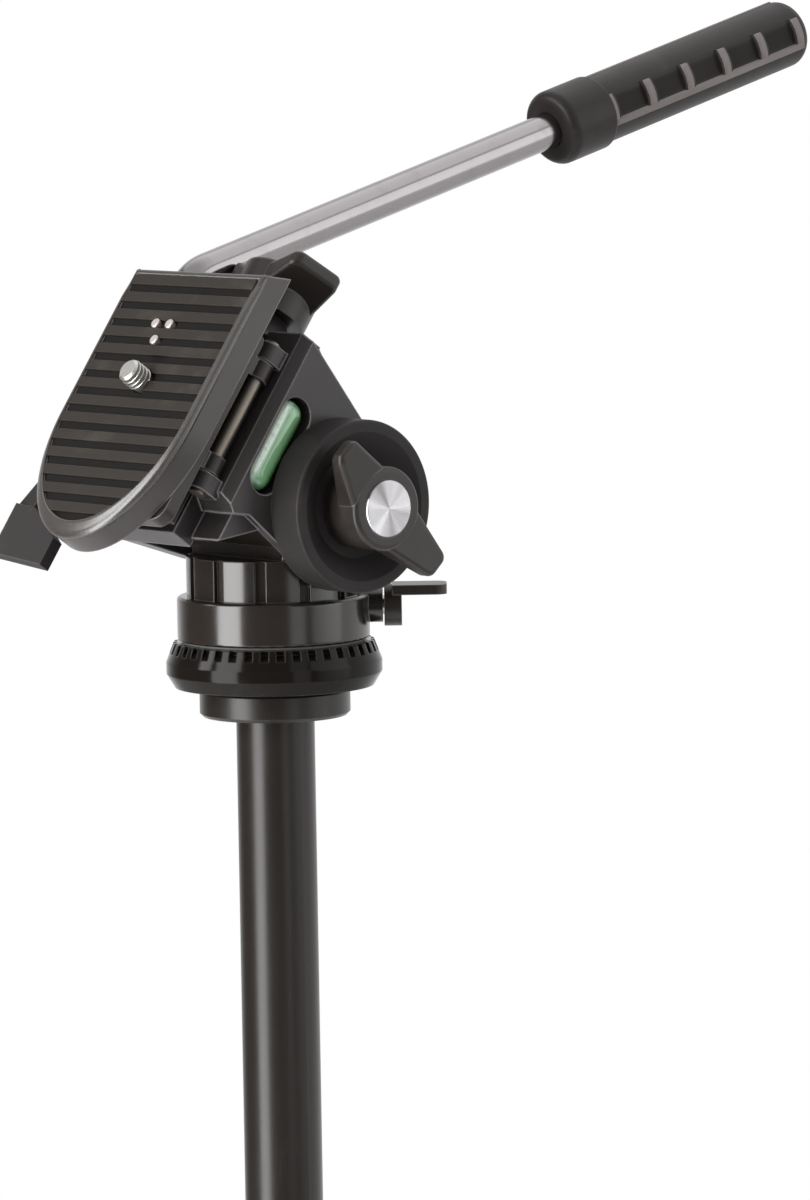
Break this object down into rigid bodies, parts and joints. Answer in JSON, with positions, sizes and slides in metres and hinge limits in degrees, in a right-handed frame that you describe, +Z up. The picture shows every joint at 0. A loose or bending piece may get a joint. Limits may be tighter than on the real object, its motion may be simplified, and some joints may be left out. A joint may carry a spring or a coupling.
{
  "type": "camera tripod",
  "caption": "Camera tripod with a pan and tilt head, quick release plate, chromed pan handle, sliding centre column and folding telescopic legs.",
  "frame": {"origin": "on the floor under the centre column's axis", "axes": "+Z up along the centre column, the lens side toward -Y, the pan handle toward +Y, the tilt axis along X with its lock knob at +X"},
  "size_m": [0.3799, 0.4327, 0.7543],
  "materials": {
    "black_plastic": "fine satin moulding",
    "gloss_black_plastic": "polished moulding",
    "grey_plastic": "smooth, slightly worn",
    "satin_black_metal": "satin black anodised tube",
    "bright_steel": "turned and polished",
    "spun_metal": "spun, with fine rings",
    "chrome": "bright plating",
    "rubber": "moulded, slightly shiny",
    "vial_green": "clear green, filled with liquid"
  },
  "bodies": {
    "crown": {"leg_crown": "black_plastic", "column_collet": "grey_plastic", "leg_hinge_pins": "bright_steel"},
    "column_lock": {"column_lock_collar": "black_plastic"},
    "column": {"centre_column": "satin_black_metal", "column_end_cap": "rubber", "column_hub": "satin_black_metal", "head_stud": "bright_steel", "pan_ring": "black_plastic", "pan_pivot": "bright_steel", "pan_washer": "grey_plastic"},
    "pan": {"pan_housing": "black_plastic"},
    "pan_lock": {"pan_lock_lever": "black_plastic", "pan_lock_screw": "bright_steel"},
    "tilt": {"tilt_cradle": "black_plastic", "tilt_drum": "black_plastic", "tilt_axle": "bright_steel", "tilt_washers": "grey_plastic", "level_vial": "vial_green", "side_tilt_pin": "bright_steel", "handle_tube": "chrome", "handle_grip": "rubber", "handle_nut": "bright_steel"},
    "tilt_lock": {"tilt_lock_knob": "black_plastic", "tilt_knob_cap": "spun_metal"},
    "side_tilt": {"side_tilt_platform": "gloss_black_plastic"},
    "side_tilt_lock": {"side_tilt_knob": "black_plastic"},
    "plate_release": {"plate_lever": "black_plastic"},
    "plate": {"quick_plate": "black_plastic", "plate_pad": "rubber", "plate_pips": "bright_steel"},
    "screw": {"camera_screw": "bright_steel"},
    "front_leg": {"front_leg_top": "black_plastic", "front_leg_upper_tube": "satin_black_metal", "front_leg_upper_lock": "black_plastic"},
    "front_upper_flip": {"front_leg_upper_lever": "gloss_black_plastic"},
    "front_leg_middle": {"front_leg_middle_tube": "satin_black_metal", "front_leg_lower_lock": "black_plastic"},
    "front_lower_flip": {"front_leg_lower_lever": "gloss_black_plastic"},
    "front_leg_lower": {"front_leg_lower_tube": "satin_black_metal", "front_leg_foot": "rubber"},
    "left_leg": {"left_leg_top": "black_plastic", "left_leg_upper_tube": "satin_black_metal", "left_leg_upper_lock": "black_plastic"},
    "left_upper_flip": {"left_leg_upper_lever": "gloss_black_plastic"},
    "left_leg_middle": {"left_leg_middle_tube": "satin_black_metal", "left_leg_lower_lock": "black_plastic"},
    "left_lower_flip": {"left_leg_lower_lever": "gloss_black_plastic"},
    "left_leg_lower": {"left_leg_lower_tube": "satin_black_metal", "left_leg_foot": "rubber"},
    "right_leg": {"right_leg_top": "black_plastic", "right_leg_upper_tube": "satin_black_metal", "right_leg_upper_lock": "black_plastic"},
    "right_upper_flip": {"right_leg_upper_lever": "gloss_black_plastic"},
    "right_leg_middle": {"right_leg_middle_tube": "satin_black_metal", "right_leg_lower_lock": "black_plastic"},
    "right_lower_flip": {"right_leg_lower_lever": "gloss_black_plastic"},
    "right_leg_lower": {"right_leg_lower_tube": "satin_black_metal", "right_leg_foot": "rubber"}
  },
  "joints": [
    {"name": "column_lock_turn", "type": "hinge", "parent": "crown", "child": "column_lock", "pos_m": [0, 0, 0.412], "axis": [0, 0, 1], "range_deg": [0, 120]},
    {"name": "column_slide", "type": "slide", "parent": "crown", "child": "column", "axis": [0, 0, 1], "range_m": [-0.148, 0.03]},
    {"name": "pan_turn", "type": "hinge", "parent": "column", "child": "pan", "pos_m": [0, 0, 0.596], "axis": [0, 0, 1], "continuous": true},
    {"name": "pan_lock_turn", "type": "hinge", "parent": "pan", "child": "pan_lock", "pos_m": [0.01968, 0.02264, 0.5986], "axis": [0.6561, 0.7547, 0], "range_deg": [-60, 60]},
    {"name": "tilt_turn", "type": "hinge", "parent": "pan", "child": "tilt", "pos_m": [0, 0, 0.6273], "axis": [1, 0, 0], "range_deg": [-84.5, 19]},
    {"name": "tilt_lock_turn", "type": "hinge", "parent": "tilt", "child": "tilt_lock", "pos_m": [0.04, 0, 0.6273], "axis": [1, 0, 0], "range_deg": [-180, 180]},
    {"name": "side_tilt_turn", "type": "hinge", "parent": "tilt", "child": "side_tilt", "pos_m": [0.02, -0.02995, 0.64868], "axis": [0, 0.581, 0.8139], "range_deg": [0, 90]},
    {"name": "side_tilt_lock_turn", "type": "hinge", "parent": "tilt", "child": "side_tilt_lock", "pos_m": [0.002, -0.00118, 0.67729], "axis": [0, 0.581, 0.8139], "range_deg": [-180, 180]},
    {"name": "plate_release_turn", "type": "hinge", "parent": "side_tilt", "child": "plate_release", "pos_m": [-0.031, -0.04011, 0.63996], "axis": [0, 0.8139, -0.581], "range_deg": [0, 75]},
    {"name": "plate_lift", "type": "slide", "parent": "side_tilt", "child": "plate", "axis": [0, -0.8139, 0.581], "range_m": [0, 0.025]},
    {"name": "screw_turn", "type": "hinge", "parent": "plate", "child": "screw", "pos_m": [0, -0.03924, 0.65838], "axis": [0, -0.8139, 0.581], "continuous": true},
    {"name": "front_leg_spread", "type": "hinge", "parent": "crown", "child": "front_leg", "pos_m": [0, -0.035, 0.392], "axis": [1, 0, 0], "range_deg": [0, 20.5]},
    {"name": "front_upper_flip_turn", "type": "hinge", "parent": "front_leg", "child": "front_upper_flip", "pos_m": [-0.00883, -0.197, 0.06896], "axis": [0, -0.4067, -0.9135], "range_deg": [0, 100]},
    {"name": "front_leg_extend", "type": "slide", "parent": "front_leg", "child": "front_leg_middle", "axis": [0, -0.4067, -0.9135], "range_m": [0, 0.29]},
    {"name": "front_lower_flip_turn", "type": "hinge", "parent": "front_leg_middle", "child": "front_lower_flip", "pos_m": [-0.00798, -0.20734, 0.04182], "axis": [0, -0.4067, -0.9135], "range_deg": [0, 100]},
    {"name": "front_leg_extend_low", "type": "slide", "parent": "front_leg_middle", "child": "front_leg_lower", "axis": [0, -0.4067, -0.9135], "range_m": [0, 0.29]},
    {"name": "left_leg_spread", "type": "hinge", "parent": "crown", "child": "left_leg", "pos_m": [0.03031, 0.0175, 0.392], "axis": [-0.5, 0.866, 0], "range_deg": [0, 20.5]},
    {"name": "left_upper_flip_turn", "type": "hinge", "parent": "left_leg", "child": "left_upper_flip", "pos_m": [0.17502, 0.09086, 0.06896], "axis": [0.3522, 0.2034, -0.9135], "range_deg": [0, 100]},
    {"name": "left_leg_extend", "type": "slide", "parent": "left_leg", "child": "left_leg_middle", "axis": [0.3522, 0.2034, -0.9135], "range_m": [0, 0.29]},
    {"name": "left_lower_flip_turn", "type": "hinge", "parent": "left_leg_middle", "child": "left_lower_flip", "pos_m": [0.18355, 0.09676, 0.04182], "axis": [0.3522, 0.2034, -0.9135], "range_deg": [0, 100]},
    {"name": "left_leg_extend_low", "type": "slide", "parent": "left_leg_middle", "child": "left_leg_lower", "axis": [0.3522, 0.2034, -0.9135], "range_m": [0, 0.29]},
    {"name": "right_leg_spread", "type": "hinge", "parent": "crown", "child": "right_leg", "pos_m": [-0.03031, 0.0175, 0.392], "axis": [-0.5, -0.866, 0], "range_deg": [0, 20.5]},
    {"name": "right_upper_flip_turn", "type": "hinge", "parent": "right_leg", "child": "right_upper_flip", "pos_m": [-0.16619, 0.10614, 0.06896], "axis": [-0.3522, 0.2034, -0.9135], "range_deg": [0, 100]},
    {"name": "right_leg_extend", "type": "slide", "parent": "right_leg", "child": "right_leg_middle", "axis": [-0.3522, 0.2034, -0.9135], "range_m": [0, 0.29]},
    {"name": "right_lower_flip_turn", "type": "hinge", "parent": "right_leg_middle", "child": "right_lower_flip", "pos_m": [-0.17557, 0.11058, 0.04182], "axis": [-0.3522, 0.2034, -0.9135], "range_deg": [0, 100]},
    {"name": "right_leg_extend_low", "type": "slide", "parent": "right_leg_middle", "child": "right_leg_lower", "axis": [-0.3522, 0.2034, -0.9135], "range_m": [0, 0.29]}
  ]
}
